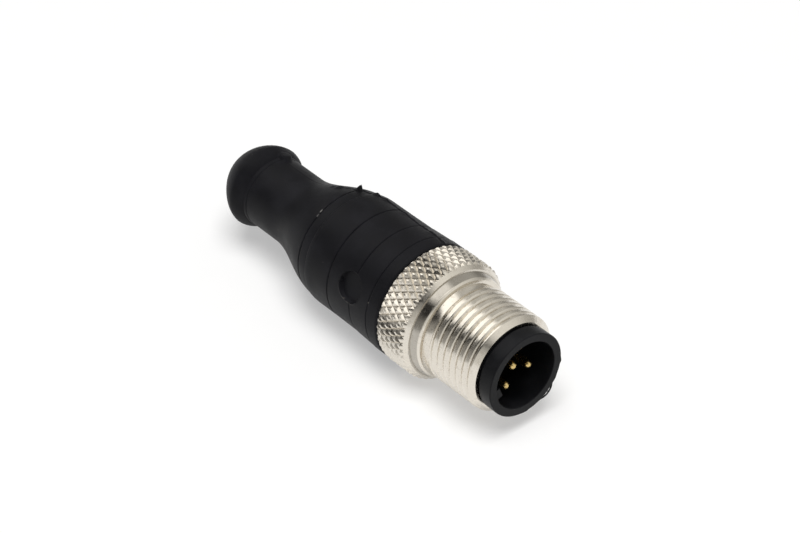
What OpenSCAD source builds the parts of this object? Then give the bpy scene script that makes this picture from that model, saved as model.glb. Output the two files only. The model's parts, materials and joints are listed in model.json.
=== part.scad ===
// Five-contact M12 plug with a moulded-on body and a turned coupling screw: a bus terminator.
// It lies on the coupling screw's knurl, mating end towards +X, up is +Z.
// The origin is on the floor, under the middle of the plug's length and width.
// Stations are distances in mm behind the front rim of the contact carrier's shroud.

/* [Contact carrier] */
// outer radius of the shroud's front rim
rim_r = 5.2; // [5.1:0.05:5.3]
// length of the front rim
rim_len = 1.85; // [1.6:0.05:2.2]
// radius of the barrel that the coupling screw turns on
barrel_r = 4.9; // [4.8:0.05:4.95]
// radius of the socket inside the shroud
socket_r = 4.18; // [4.1:0.02:4.3]
// depth of the socket from the rim to the face the contacts stand on
socket_depth = 9.5; // [8.5:0.5:10.5]
// width of the coding key
key_w = 1.3; // [1:0.1:1.6]
// height of the coding key above the socket's wall
key_h = 1; // [0.7:0.1:1.1]
// distance of the coding key's end behind the rim
key_set_back = 0.7; // [0.4:0.1:1.5]
// direction of the coding key, from +Y towards +Z
key_angle = 202; // [180:1:225]

/* [Contacts] */
// radius of the contact pins
pin_r = 0.5; // [0.45:0.05:0.5]
// diameter of the circle that the four outer contacts stand on
pin_circle_d = 5; // [4.8:0.1:5.2]
// distance of the contact tips behind the rim
pin_set_back = 1.8; // [1.6:0.1:2.6]
// radius of the solder cups
cup_r = 1; // [0.95:0.05:1.05]
// radius of each contact's shank, where the carrier grips it
shank_r = 0.75; // [0.7:0.01:0.8]
// radius of the hole in each solder cup
cup_bore_r = 0.77; // [0.75:0.01:0.8]
// length of each solder cup behind the carrier
cup_len = 2.6; // [2:0.1:3]

/* [Coupling screw] */
// nominal radius of the M12 thread
thread_r = 6; // [5.9:0.05:6]
// length from the screw's front face to the end of the thread
thread_len = 7.15; // [6:0.05:8]
// radius of the relief neck behind the thread
relief_r = 5.7; // [5.5:0.05:5.8]
// length of the relief neck
relief_len = 1.3; // [1:0.1:1.6]
// radius of the plain collar where it meets the relief neck
collar_front_r = 6.35; // [6.1:0.05:6.5]
// radius of the plain collar where it meets the knurled ring
collar_back_r = 6.6; // [6.5:0.05:6.8]
// length of the plain collar
collar_len = 1.17; // [0.9:0.03:1.5]
// radius over the crests of the knurl
knurl_crest_r = 7.44; // [7.3:0.02:7.6]
// depth of the knurl's grooves
knurl_depth = 0.4; // [0.2:0.05:0.45]
// length of the knurled ring
knurl_len = 4.73; // [4:0.05:6]
// diamonds around the ring, a multiple of four
knurl_n = 48; // [40:4:56]
// half diamonds along the ring
knurl_rows = 6; // [4:1:8]
// radial clearance between the screw and the carrier's barrel
running_clearance = 0.05; // [0.02:0.01:0.09]
// axial gap between the rim and the screw
rim_gap = 0.3; // [0.1:0.05:0.4]
// axial gap between the screw and the body
back_gap = 0.12; // [0.08:0.02:0.3]

/* [Moulded body] */
// how far the body's front band lies under the knurl's crests
band_drop = 0.06; // [0:0.02:0.2]
// how far the body's long cylinder lies under its front band
cylinder_drop = 0.26; // [0.1:0.02:0.4]
// length from the body's front to its first groove
band_1_len = 1.85; // [1.5:0.05:2.2]
// length from the body's front to its second groove
band_2_len = 4.95; // [4.5:0.05:5.4]
// length from the body's front to its third groove
band_3_len = 8.98; // [8.5:0.02:9.4]
// length from the body's front to the soft shoulder
shoulder_len = 12.7; // [12:0.1:13]
// length from the body's front to the fourth groove
band_4_len = 14.6; // [14.2:0.1:15]
// depth of the grooves
groove_depth = 0.14; // [0.06:0.02:0.2]
// radius of the grip's waist
waist_r = 4.42; // [4.2:0.02:4.6]
// length from the body's front to the start of the waist
waist_start_len = 22.8; // [21.8:0.1:23.8]
// length from the body's front to the end of the waist
waist_end_len = 27.2; // [26:0.1:27.6]
// radius of the end knob
knob_r = 5.25; // [5:0.05:5.4]
// length from the body's front to the knob's largest section
knob_top_len = 29.2; // [29:0.1:29.8]
// shape of the knob's cap, from 1, a cone, to 2, a round dome
cap_shape = 1.5; // [1.3:0.1:2]
// length of the whole body
body_len = 34.08; // [33:0.02:36]
// radius of the round gate recess
gate_r = 1.8; // [1.4:0.1:2]
// depth of the gate recess at its middle
gate_depth = 0.4; // [0.3:0.05:0.5]
// length from the body's front to the gate recess
gate_len = 5.5; // [5:0.1:6.4]
// direction of the gate recess, from +Y towards +Z
gate_angle = 156; // [140:1:170]
// height of the spike of flash on the fourth groove
flash_h = 0.75; // [0.5:0.05:1]
// direction of the spike of flash, from +Y towards +Z
flash_angle = 71; // [60:1:80]

/* [Inside] */
// length from the body's front to the end of the carrier's tail
tail_len = 2.2; // [2:0.1:2.4]
// wall of the body around the inner moulding
body_wall = 1.42; // [1.2:0.02:1.7]
// depth of the hole in each solder cup
cup_bore_depth = 2.4; // [2:0.1:2.6]
// radius of the resistor's body
resistor_r = 1.2; // [0.9:0.1:1.3]
// length of the resistor's body
resistor_len = 6; // [5:0.5:6.5]
// radius of the resistor's leads
lead_r = 0.25; // [0.2:0.01:0.27]
// length of each lead inside the resistor's body
lead_inside = 0.9; // [0.6:0.1:1.2]
// distance from the solder cups to the resistor
resistor_gap = 1.6; // [1.2:0.1:2]
// wall of the insulating sleeves
sleeve_wall = 0.5; // [0.45:0.01:0.52]
// gap between pieces that are moulded or pressed together
fit_gap = 0.02; // [0.01:0.005:0.03]

/* [Hidden] */
$fn = 96;
// stations along the axis
screw_front = rim_len + rim_gap;
thread_end = screw_front + thread_len;
relief_end = thread_end + relief_len;
ring_front = relief_end + collar_len;
screw_back = ring_front + knurl_len;
body_front = screw_back + back_gap;
tail_end = body_front + tail_len;
overall_len = body_front + body_len;
front_x = overall_len / 2;
axis_z = knurl_crest_r;
// the body's radii step down from the knurl's crests
band_r = knurl_crest_r - band_drop;
cylinder_r = band_r - cylinder_drop;
// soft steps of the body: between its bands, at its shoulder, and where the knob begins
band_taper = 0.04;
shoulder_soft = 0.5;
line_w = 0.1;
knob_reach = 1.45;
knob_foot_r = waist_r + line_w;
// the coupling screw
bore_r = barrel_r + running_clearance;
lead_chamfer = 0.6;
edge = 0.15;
knurl_valley_r = knurl_crest_r - knurl_depth;
ring_core_r = knurl_valley_r - 0.05;
knurl_step = 180 / knurl_n;
knurl_end_cut = 0.12;
// the contacts: their shoulders seat in the carrier's tail
shoulder_depth = 2.2;
pin_shoulder = tail_end - shoulder_depth;
cup_end = tail_end + cup_len;
cup_floor = cup_end - cup_bore_depth;
shank_front = socket_depth - 2 * running_clearance;
pin_circle_r = pin_circle_d / 2;
pin_angles = [key_angle - 45, key_angle + 45, key_angle + 135, key_angle - 135];
return_angle = pin_angles[3];
// the carrier's grip groove and round edges
rim_round = 0.12;
rim_edge = 0.06;
grip_groove_depth = 0.4;
grip_groove_front = tail_end - 0.95;
grip_groove_back = tail_end - 0.5;
// the inner moulding and what it holds
core_r = cylinder_r - body_wall;
core_front = body_front + 0.8;
resistor_front = cup_end + resistor_gap;
resistor_back = resistor_front + resistor_len;
bend_r = pin_circle_r / 2;
bend_start = resistor_back + lead_inside;
core_shoulder = resistor_back + 0.4;
core_end = bend_start + bend_r + 1.4;
core_end_r = pin_circle_r + 1.1;
sleeve_r = lead_r + sleeve_wall;
solder_front = cup_floor + 0.1;
solder_back = cup_end;
lead_tip = cup_floor + 0.5;
// the strand of flash that stands off the rim's edge
strand_r = 0.09;
strand_loop_r = 1.5;
strand_half_turn = 62;
strand_angle = 309;
strand_rise = 0.45;

// Puts a thing built along +Z, with its front at zero, on the plug's axis, pointing to +X.
module on_axis() {
    translate([front_x, 0, axis_z]) rotate([90, 0, 90]) children();
}

// A turned solid from a list of [station, radius].
module turned(profile) {
    rotate_extrude() polygon([for (p = profile) [p.y, -p.x]]);
}

// A plain cylinder between two stations.
module rod(r, from, to) {
    translate([0, 0, -to]) cylinder(r = r, h = to - from);
}

// Moves a thing from the axis to the place of contact n; the fifth stays on the axis.
module at_contact(n) {
    a = n < 5 ? pin_angles[n - 1] : 0;
    r = n < 5 ? pin_circle_r : 0;
    rotate([0, 0, a]) translate([r, 0, 0]) children();
}

// A quarter round from angle a0 to a1, as [station, radius] pairs.
function arc(s, r, radius, a0, a1, steps = 6) =
    [for (i = [0:steps]) let (a = a0 + (a1 - a0) * i / steps) [s + radius * cos(a), r + radius * sin(a)]];

// ---- contact carrier: one black moulding ----

function carrier_profile() = concat(
    [[socket_depth, 0], [socket_depth, socket_r], [rim_edge, socket_r], [0, socket_r + rim_edge]],
    arc(rim_round, rim_r - rim_round, rim_round, 180, 90),
    arc(rim_len - edge, rim_r - edge, edge, 90, 0),
    [[rim_len, barrel_r], [grip_groove_front, barrel_r],
     [grip_groove_front, barrel_r - grip_groove_depth], [grip_groove_back, barrel_r - grip_groove_depth],
     [grip_groove_back, barrel_r], [tail_end, barrel_r], [tail_end, 0]]);

// The thin loop of flash keeps its true form: a round strand in the plane of the rim.
module flash_strand() {
    loop_centre_r = rim_r + strand_rise - strand_loop_r + strand_r;
    rotate([0, 0, strand_angle]) translate([loop_centre_r, 0, -2 * strand_r])
        rotate([0, 0, -strand_half_turn]) rotate_extrude(angle = 2 * strand_half_turn)
            translate([strand_loop_r - strand_r, 0]) circle(strand_r);
}

module contact_carrier() {
    color([0.14, 0.14, 0.15]) on_axis() difference() {
        union() {
            turned(carrier_profile());
            intersection() {
                rotate([0, 0, key_angle]) translate([socket_r - key_h, -key_w / 2, -socket_depth - edge])
                    cube([key_h + edge, key_w, socket_depth + edge - key_set_back]);
                rod(socket_r + edge, key_set_back, socket_depth + edge);
            }
            flash_strand();
        }
        for (n = [1:5]) at_contact(n) {
            rod(shank_r + fit_gap, socket_depth - pin_r, tail_end + pin_r);
            rod(cup_r + fit_gap, pin_shoulder - fit_gap, tail_end + cup_r);
        }
    }
}

// ---- contacts: gold plated pins with a solder cup ----

function pin_profile() = concat(
    [[pin_set_back, 0]],
    [for (a = [0:15:90]) [pin_set_back + pin_r * (1 - cos(a)), pin_r * sin(a)]],
    [[shank_front, pin_r], [shank_front, shank_r], [pin_shoulder, shank_r], [pin_shoulder, cup_r],
     [cup_end, cup_r], [cup_end, cup_bore_r], [cup_floor, cup_bore_r], [cup_floor, 0]]);

module contact_pin(n) {
    color([0.85, 0.68, 0.32]) on_axis() at_contact(n) turned(pin_profile());
}

// ---- coupling screw: one turned piece of nickel plated brass ----

function screw_profile() =
    [[screw_front, bore_r + edge], [screw_front, thread_r - lead_chamfer],
     [screw_front + lead_chamfer, thread_r], [thread_end, thread_r],
     [thread_end + edge, relief_r], [relief_end - edge, relief_r],
     [relief_end, collar_front_r - edge], [relief_end + edge, collar_front_r],
     [ring_front - 0.05, collar_back_r], [ring_front, ring_core_r],
     [screw_back, ring_core_r], [screw_back, bore_r + edge],
     [screw_back - edge, bore_r], [screw_front + edge, bore_r]];

// One point of the knurl: crests and valleys take turns around each row and along the ring.
function knurl_point(k, i) =
    let (crest = (k + i) % 2 == 0, end = k == 0 ? 1 : k == knurl_rows ? -1 : 0,
         cut = crest ? abs(end) * knurl_end_cut : 0,
         r = (crest ? knurl_crest_r : knurl_valley_r) - cut,
         s = ring_front + edge / 3 + (knurl_len - edge / 1.5) * k / knurl_rows + end * cut)
    [r * cos(i * knurl_step), r * sin(i * knurl_step), -s];

// A sleeve with the diamond pattern outside. Each diamond is a pyramid between crossing grooves.
module knurl_sleeve() {
    m = 2 * knurl_n;
    inner_r = ring_core_r - 0.1;
    outer = [for (k = [0:knurl_rows], i = [0:m - 1]) knurl_point(k, i)];
    inner = [for (k = [0, knurl_rows], i = [0:m - 1])
        [inner_r * cos(i * knurl_step), inner_r * sin(i * knurl_step), knurl_point(k, k % 2 == 0 ? 1 : 0).z]];
    n_out = m * (knurl_rows + 1);
    skin = [for (k = [0:knurl_rows - 1], i = [0:m - 1], half = [0, 1])
        let (j = (i + 1) % m, a = k * m + i, b = k * m + j, c = a + m, d = b + m)
        (k + i) % 2 == 0 ? (half == 0 ? [a, b, c] : [d, c, b]) : (half == 0 ? [a, b, d] : [a, d, c])];
    front = [for (i = [0:m - 1], half = [0, 1]) let (j = (i + 1) % m)
        half == 0 ? [i, n_out + i, j] : [j, n_out + i, n_out + j]];
    back = [for (i = [0:m - 1], half = [0, 1]) let (j = (i + 1) % m, o = m * knurl_rows, p = n_out + m)
        half == 0 ? [o + i, o + j, p + i] : [o + j, p + j, p + i]];
    bore = [for (i = [0:m - 1], half = [0, 1]) let (j = (i + 1) % m, p = n_out, q = n_out + m)
        half == 0 ? [p + i, q + i, p + j] : [p + j, q + i, q + j]];
    polyhedron(points = concat(outer, inner), faces = concat(skin, front, back, bore));
}

module coupling_screw() {
    color([0.78, 0.76, 0.71]) on_axis() union() {
        turned(screw_profile());
        knurl_sleeve();
    }
}

// ---- moulded body: one black moulding with its grooves, gate recess and flash ----

function cosine_blend(s0, r0, s1, r1, from, steps = 24) =
    [for (i = [0:steps]) let (s = from + (s1 - from) * i / steps, t = (s - s0) / (s1 - s0))
        [s, r0 + (r1 - r0) * (1 - cos(180 * t)) / 2]];

function groove(len, r0, r1) =
    let (s = body_front + len)
    [[s - line_w, r0], [s, min(r0, r1) - groove_depth], [s + line_w, r1]];

// Radius of the flare at a distance behind the body's front.
flare_start = shoulder_len + 0.2;
flare_start_r = cylinder_r - 0.17;
function flare_r(len) =
    let (t = (len - flare_start) / (waist_start_len - flare_start))
    flare_start_r + (waist_r - flare_start_r) * (1 - cos(180 * t)) / 2;

// Radius of the cap at a share of its length, from 0 at the knob's largest section to 1 at its end.
function cap_r(share) = knob_r * pow(1 - pow(share, cap_shape), 1 / cap_shape);

function body_profile() =
    let (f = body_front, w = f + waist_end_len, cap_len = body_len - knob_top_len)
    concat(
    [[f, 0], [f, band_r - 2 * edge], [f + 2 * edge, band_r]],
    groove(band_1_len, band_r, band_r - band_taper),
    groove(band_2_len, cylinder_r + 2 * band_taper, cylinder_r + band_taper),
    groove(band_3_len, cylinder_r, cylinder_r),
    [[f + shoulder_len - shoulder_soft, cylinder_r], [f + shoulder_len, cylinder_r - shoulder_soft / 20],
     [f + shoulder_len + shoulder_soft, cylinder_r - shoulder_soft / 5]],
    groove(band_4_len, flare_r(band_4_len), flare_r(band_4_len)),
    cosine_blend(f + flare_start, flare_start_r, f + waist_start_len, waist_r, f + band_4_len + 0.2),
    [[w - line_w, waist_r], [w, waist_r - line_w / 2], [w + line_w, waist_r + line_w / 2]],
    [for (x = [knob_reach:-knob_reach / 6:0.01])
        [f + knob_top_len - x, knob_r - (knob_r - knob_foot_r) * pow(x / knob_reach, 2)]],
    [for (a = [0:5:90]) [f + knob_top_len + cap_len * sin(a), cap_r(sin(a))]]);

module gate_recess() {
    rotate([0, 0, gate_angle]) translate([cylinder_r - gate_depth, 0, -body_front - gate_len])
        rotate([0, 90, 0]) cylinder(r = gate_r, h = gate_r);
}

module flash_spike() {
    base_r = waist_r + 1;
    rotate([0, 0, flash_angle]) translate([base_r, 0, -body_front - band_4_len])
        rotate([0, 90, 0]) cylinder(r1 = 0.4, r2 = 0.05, h = flare_r(band_4_len) + flash_h - base_r);
}

module overmould_body() {
    color([0.13, 0.13, 0.14]) on_axis() difference() {
        union() {
            turned(body_profile());
            flash_spike();
        }
        gate_recess();
        rod(barrel_r + fit_gap, body_front - edge, core_front);
        turned(core_profile(fit_gap));
    }
}

// ---- inner moulding: holds the carrier's tail, the solder cups and the resistor ----

function core_profile(g) =
    [[core_front - g, 0], [core_front - g, core_r + g], [core_shoulder + g, core_r + g],
     [core_end + g, core_end_r + g], [core_end + g, 0]];

module tail_space() {
    g = fit_gap;
    turned([[core_front - edge, 0], [core_front - edge, barrel_r + g], [grip_groove_front + g, barrel_r + g],
            [grip_groove_front + g, barrel_r - grip_groove_depth + g],
            [grip_groove_back - g, barrel_r - grip_groove_depth + g],
            [grip_groove_back - g, barrel_r + g], [tail_end + g, barrel_r + g], [tail_end + g, 0]]);
}

module inner_moulding() {
    g = fit_gap;
    color([0.86, 0.84, 0.76]) on_axis() difference() {
        turned(core_profile(0));
        tail_space();
        for (n = [1:5]) at_contact(n) rod(cup_r + g, tail_end - cup_r, cup_end + g);
        rod(resistor_r + g, resistor_front - g, resistor_back + g);
        rod(sleeve_r + g, cup_end, resistor_front);
        at_contact(4) rod(sleeve_r + g, cup_end, resistor_back + g);
        lead_path(lead_r + g, cup_end);
    }
}

// ---- resistor across contacts 4 and 5 ----

module resistor_body() {
    round_r = 0.4;
    color([0.55, 0.72, 0.78]) on_axis() difference() {
        turned(concat([[resistor_front, 0]],
            arc(resistor_front + round_r, resistor_r - round_r, round_r, 180, 90),
            arc(resistor_back - round_r, resistor_r - round_r, round_r, 90, 0), [[resistor_back, 0]]));
        for (end = [resistor_front, resistor_back])
            rod(lead_r + fit_gap, end - lead_inside - fit_gap, end + lead_inside + fit_gap);
    }
}

// The lead that leaves the resistor's back, turns round and runs to contact 4. The bend is drawn a
// hair thinner than the straight runs and reaches a little way into both.
module lead_path(r, tip) {
    reach = 2;
    rod(r, resistor_back - lead_inside, bend_start);
    at_contact(4) rod(r, tip, bend_start);
    rotate([0, 0, return_angle]) translate([bend_r, 0, -bend_start]) rotate([-90, 0, 0])
        rotate([0, 0, -reach]) rotate_extrude(angle = 180 + 2 * reach)
            translate([bend_r, 0]) circle(r - fit_gap / 2);
}

module resistor_lead_front() {
    color([0.72, 0.72, 0.7]) on_axis() rod(lead_r, lead_tip, resistor_front + lead_inside);
}

module resistor_lead_return() {
    color([0.72, 0.72, 0.7]) on_axis() lead_path(lead_r, lead_tip);
}

module sleeve(from, to) {
    difference() {
        rod(sleeve_r, from, to);
        rod(lead_r + fit_gap, from - lead_r, to + lead_r);
    }
}

module lead_sleeve_front() {
    color([0.2, 0.35, 0.6]) on_axis() sleeve(solder_back + fit_gap, resistor_front - fit_gap);
}

module lead_sleeve_return() {
    color([0.2, 0.35, 0.6]) on_axis() at_contact(4) sleeve(solder_back + fit_gap, resistor_back);
}

// ---- solder in the cups of contacts 4 and 5 ----

module solder() {
    difference() {
        rod(cup_bore_r - fit_gap, solder_front, solder_back);
        rod(lead_r + fit_gap / 2, lead_tip - fit_gap, solder_back + lead_r);
    }
}

module solder_joint_front() {
    color([0.8, 0.8, 0.78]) on_axis() solder();
}

module solder_joint_return() {
    color([0.8, 0.8, 0.78]) on_axis() at_contact(4) solder();
}

overmould_body();
coupling_screw();
contact_carrier();
contact_pin(1);  // contact_pin_1
contact_pin(2);  // contact_pin_2
contact_pin(3);  // contact_pin_3
contact_pin(4);  // contact_pin_4
contact_pin(5);  // contact_pin_5
inner_moulding();
resistor_body();
resistor_lead_front();
resistor_lead_return();
lead_sleeve_front();
lead_sleeve_return();
solder_joint_front();
solder_joint_return();
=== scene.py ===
# %% [markdown]
# # A five-pin M12 plug, dressed for its portrait
#
# The plug is a small sealed connector for machine cabling: a black moulded body,
# a nickel-plated coupling screw with a diamond knurl, a black contact carrier with
# a coding key, and five gold-plated pins. It lies on its side.
#
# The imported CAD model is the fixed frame. This lesson adds what a solid can't
# say: the thread's turns, the sharp knurl, the moulded skin, and every finish.
# Work in the frame's own metres, so that each piece lands where the CAD says.

import json
import math

import bmesh
import bpy
import numpy as np
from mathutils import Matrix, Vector


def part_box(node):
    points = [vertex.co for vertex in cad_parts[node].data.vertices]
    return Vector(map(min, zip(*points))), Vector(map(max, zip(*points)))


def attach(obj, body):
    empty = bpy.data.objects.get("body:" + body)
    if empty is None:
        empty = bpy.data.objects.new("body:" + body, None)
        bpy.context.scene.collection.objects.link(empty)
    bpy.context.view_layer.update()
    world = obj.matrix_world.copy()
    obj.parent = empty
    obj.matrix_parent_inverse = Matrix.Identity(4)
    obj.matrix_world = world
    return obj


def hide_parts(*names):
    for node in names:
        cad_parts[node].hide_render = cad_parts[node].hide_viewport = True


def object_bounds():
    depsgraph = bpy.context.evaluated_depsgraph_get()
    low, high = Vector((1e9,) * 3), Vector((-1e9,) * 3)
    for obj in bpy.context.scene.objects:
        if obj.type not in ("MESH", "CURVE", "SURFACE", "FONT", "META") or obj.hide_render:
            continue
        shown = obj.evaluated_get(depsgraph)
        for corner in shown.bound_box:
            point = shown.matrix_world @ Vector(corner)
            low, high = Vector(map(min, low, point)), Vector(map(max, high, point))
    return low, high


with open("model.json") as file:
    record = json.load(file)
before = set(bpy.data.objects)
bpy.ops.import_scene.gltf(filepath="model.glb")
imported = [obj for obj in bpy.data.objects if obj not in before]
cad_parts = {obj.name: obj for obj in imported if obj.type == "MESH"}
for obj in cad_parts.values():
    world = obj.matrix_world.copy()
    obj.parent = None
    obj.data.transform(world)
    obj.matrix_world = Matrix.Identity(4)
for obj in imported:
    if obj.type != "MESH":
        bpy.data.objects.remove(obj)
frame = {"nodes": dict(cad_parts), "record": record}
cad_box = [list(map(float, corner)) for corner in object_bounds()]
MM = 0.001


# %% [markdown]
# ## Places that everything else is worked out from
#
# Every size comes from the frame. The plug's axis runs along X at the height of the
# knurl's crests, and a *station* is a distance behind the front rim, which is how a
# turner or a toolmaker would draw the part. Angles go round the axis from +Y
# towards +Z.

# %% Stations and angles
nose_x = cad_box[1][0]
screw_low, screw_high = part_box("coupling_screw")
body_low, body_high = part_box("overmould_body")
axis_z = (screw_low.z + screw_high.z) / 2
crest_r = (screw_high.z - screw_low.z) / 2
mounts = {m["name"]: m for m in frame["record"]["mounts"]}
thread_r = mounts["thread"]["dims"]["r_mm"] * MM


def station(x):
    """Distance behind the front rim."""
    return nose_x - x


def point_at(s, r, angle):
    """The point at a station, a radius and an angle in radians."""
    return (nose_x - s, r * math.cos(angle), axis_z + r * math.sin(angle))


screw_front = station(screw_high.x)
screw_back = station(screw_low.x)
print("screw from", round(screw_front / MM, 2), "to", round(screw_back / MM, 2),
      "mm behind the rim")

# %% [markdown]
# ## Camera
#
# A telephoto lens far from a small object keeps its sides nearly parallel and
# flattens it gently, as product pictures do. The camera looks down on the plug from
# in front of its pins. Its place is worked out from the point it looks at, a
# distance, and two angles.

# %% Camera
lens = 144 * MM
film_width = 36 * MM
camera_distance = 362.9 * MM
camera_azimuth = math.radians(50.03)
camera_elevation = math.radians(37.43)
aim_station = 23.7 * MM
aim_aside = 2.03 * MM
aim = Vector((nose_x - aim_station, aim_aside, axis_z))

towards_camera = Vector((
    math.sin(camera_azimuth) * math.cos(camera_elevation),
    -math.cos(camera_azimuth) * math.cos(camera_elevation),
    math.sin(camera_elevation)))
camera_data = bpy.data.cameras.new("portrait_camera")
camera_data.lens = lens / MM
camera_data.sensor_width = film_width / MM
camera_data.clip_start = 0.01
camera_data.clip_end = 20
camera = bpy.data.objects.new("portrait_camera", camera_data)
camera.location = aim + towards_camera * camera_distance
camera.rotation_euler = (-towards_camera).to_track_quat("-Z", "Y").to_euler()
bpy.context.scene.collection.objects.link(camera)
bpy.context.scene.camera = camera
bpy.context.scene.view_settings.view_transform = "Standard"
print("camera at", [round(v / MM, 1) for v in camera.location], "mm")

# %% [markdown]
# ## Helpers for materials
#
# A node material reads best as a list of steps from input to output. Each of these
# small helpers adds a node, sets its plain sockets, and joins it on. They come in
# three layers. A bench adds nodes and does arithmetic in any node tree, also the
# world's. Patterns start from the object's own coordinates, which are in metres here,
# so a noise scale of 8000 makes grain of about an eighth of a millimetre. A finish is
# a whole material with its shader.


# %% The bench: nodes, links and arithmetic
def able_to(layer):
    """What one layer of helpers adds, for printing."""
    return [name for name in vars(layer) if not name.startswith("_")]


class Bench:
    """A node tree to work on, cleared."""

    def __init__(self, tree):
        self.tree = tree
        self.tree.nodes.clear()

    def add(self, kind, **plain):
        node = self.tree.nodes.new(kind)
        for key, value in plain.items():
            setattr(node, key, value)
        return node

    def join(self, out, into):
        self.tree.links.new(out, into)

    def fill(self, socket, value):
        """Joins an output to a socket, or sets the socket to a plain value."""
        if isinstance(value, bpy.types.NodeSocket):
            self.join(value, socket)
        else:
            socket.default_value = value

    def step(self, operation, *sides):
        """One step of arithmetic on outputs or plain numbers."""
        node = self.add("ShaderNodeMath", operation=operation)
        for socket, side in zip(node.inputs, sides):
            self.fill(socket, side)
        return node.outputs["Value"]

    def vector_step(self, operation, *sides):
        """One step of arithmetic on vectors. A length comes out as a number."""
        node = self.add("ShaderNodeVectorMath", operation=operation)
        for socket, side in zip(node.inputs, sides):
            self.fill(socket, side)
        return node.outputs["Value" if operation == "LENGTH" else "Vector"]


print("a bench can", able_to(Bench))


# %% Patterns in space
class Patterns(Bench):
    """Numbers and colours that change with the place on the object."""

    def __init__(self, tree):
        super().__init__(tree)
        self.place = self.add("ShaderNodeTexCoord").outputs["Object"]

    def along_axes(self):
        """The place's own X, Y and Z."""
        node = self.add("ShaderNodeSeparateXYZ")
        self.join(self.place, node.inputs[0])
        return node.outputs

    def stretched(self, scale):
        """The coordinates, scaled apart along each axis."""
        mapping = self.add("ShaderNodeMapping")
        mapping.inputs["Scale"].default_value = scale
        self.join(self.place, mapping.inputs["Vector"])
        return mapping.outputs["Vector"]

    def noise(self, scale, detail=2.0, vector=None, distortion=0.0):
        node = self.add("ShaderNodeTexNoise")
        node.inputs["Scale"].default_value = scale
        node.inputs["Detail"].default_value = detail
        node.inputs["Distortion"].default_value = distortion
        self.join(vector or self.place, node.inputs["Vector"])
        return node.outputs["Fac"]

    def spread(self, value, low, high, start=0.3, end=0.7):
        """Moves a value between start and end to the range from low to high."""
        node = self.add("ShaderNodeMapRange")
        node.inputs["From Min"].default_value = start
        node.inputs["From Max"].default_value = end
        node.inputs["To Min"].default_value = low
        node.inputs["To Max"].default_value = high
        self.join(value, node.inputs["Value"])
        return node.outputs["Result"]


print("patterns can", able_to(Patterns))


# %% Colours and bumps from patterns, and the shader
class Finish(Patterns):
    """A material under construction."""

    def __init__(self, name, color, roughness, metallic=0.0, specular=0.5):
        self.material = bpy.data.materials.new(name)
        self.material.use_nodes = True
        super().__init__(self.material.node_tree)
        self.output = self.add("ShaderNodeOutputMaterial")
        self.shader = self.add("ShaderNodeBsdfPrincipled")
        self.shader.inputs["Base Color"].default_value = (*color, 1)
        self.shader.inputs["Roughness"].default_value = roughness
        self.shader.inputs["Metallic"].default_value = metallic
        self.shader.inputs["Specular IOR Level"].default_value = specular
        self.join(self.shader.outputs["BSDF"], self.output.inputs["Surface"])

    def ramp(self, value, *stops):
        """A colour from a value, through (position, colour) stops."""
        node = self.add("ShaderNodeValToRGB")
        elements = node.color_ramp.elements
        while len(elements) < len(stops):
            elements.new(0.5)
        for element, (position, color) in zip(elements, stops):
            element.position = position
            element.color = (*color, 1)
        self.join(value, node.inputs["Fac"])
        return node.outputs["Color"]

    def mixed(self, amount, first, second):
        """A colour between two, by an amount. The second may be a plain colour."""
        node = self.add("ShaderNodeMix", data_type="RGBA")
        self.join(amount, node.inputs["Factor"])
        self.join(first, node.inputs["A"])
        self.fill(node.inputs["B"], (*second, 1) if isinstance(second, tuple) else second)
        return node.outputs["Result"]

    def bump(self, height, distance, strength=1.0, after=None):
        node = self.add("ShaderNodeBump")
        node.inputs["Distance"].default_value = distance
        node.inputs["Strength"].default_value = strength
        self.join(height, node.inputs["Height"])
        if after:
            self.join(after, node.inputs["Normal"])
        return node.outputs["Normal"]

    def feed(self, **sockets):
        """Joins outputs to the shader's sockets, with _ for each space."""
        for name, out in sockets.items():
            self.join(out, self.shader.inputs[name.replace("_", " ")])
        return self.material


print("a finish can", able_to(Finish))

# %% [markdown]
# ## Moulded black body
#
# The body is a soft black thermoplastic, shot over the inner parts in a blasted
# mould. Its skin is satin with a fine leather-like grain, a little cloudier where it
# has been handled. A slow noise makes the clouds and a fast one the grain.
#
# Real black plastic is never clean for long. Sparse Voronoi cells give it a few pale
# specks of dust. Scuffs and specks that sit at a certain spot are made one by one, and so
# is a painted highlight, a pale line along the gate's lower edge: the distance to the spot,
# squashed along each axis and roughened with noise, says how much of the mark's own shade
# shows.

# %% Dust, scuffs and a painted highlight
dust_spacing = 1.5 * MM
dust_shades = ((0.16, 0.15, 0.14), (0.3, 0.28, 0.26))
speck_edge = (0.015, 0.045)
chosen_cells = (0.6, 0.85)
ragged_size = 0.12 * MM
scuff_and_highlight_edge = (0.75, 1.35)


def dusted(skin, tone, grain, share):
    """Pale specks at the hearts of a few cells."""
    cells = skin.add("ShaderNodeTexVoronoi", feature="F1")
    cells.inputs["Scale"].default_value = 1 / dust_spacing
    skin.join(skin.place, cells.inputs["Vector"])
    speck = skin.spread(cells.outputs["Distance"], 1, 0, *speck_edge)
    chosen = skin.spread(cells.outputs["Color"], 0, share, *chosen_cells)
    pale = skin.ramp(grain, (0.0, dust_shades[0]), (1.0, dust_shades[1]))
    return skin.mixed(skin.step("MULTIPLY", speck, chosen), tone, pale)


def scuff_and_highlight_mark(skin, tone, spot, reach, shade):
    """One mark with a ragged edge, at a spot, with a reach along each axis."""
    gap = skin.vector_step("SUBTRACT", skin.place, spot)
    far = skin.vector_step("LENGTH", skin.vector_step("DIVIDE", gap, reach))
    ragged = skin.step("ADD", far, skin.noise(1 / ragged_size, detail=2))
    return skin.mixed(skin.spread(ragged, 1, 0, *scuff_and_highlight_edge), tone, shade)


print("dust about every", dust_spacing / MM, "mm, where a cell is chosen")

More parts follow.
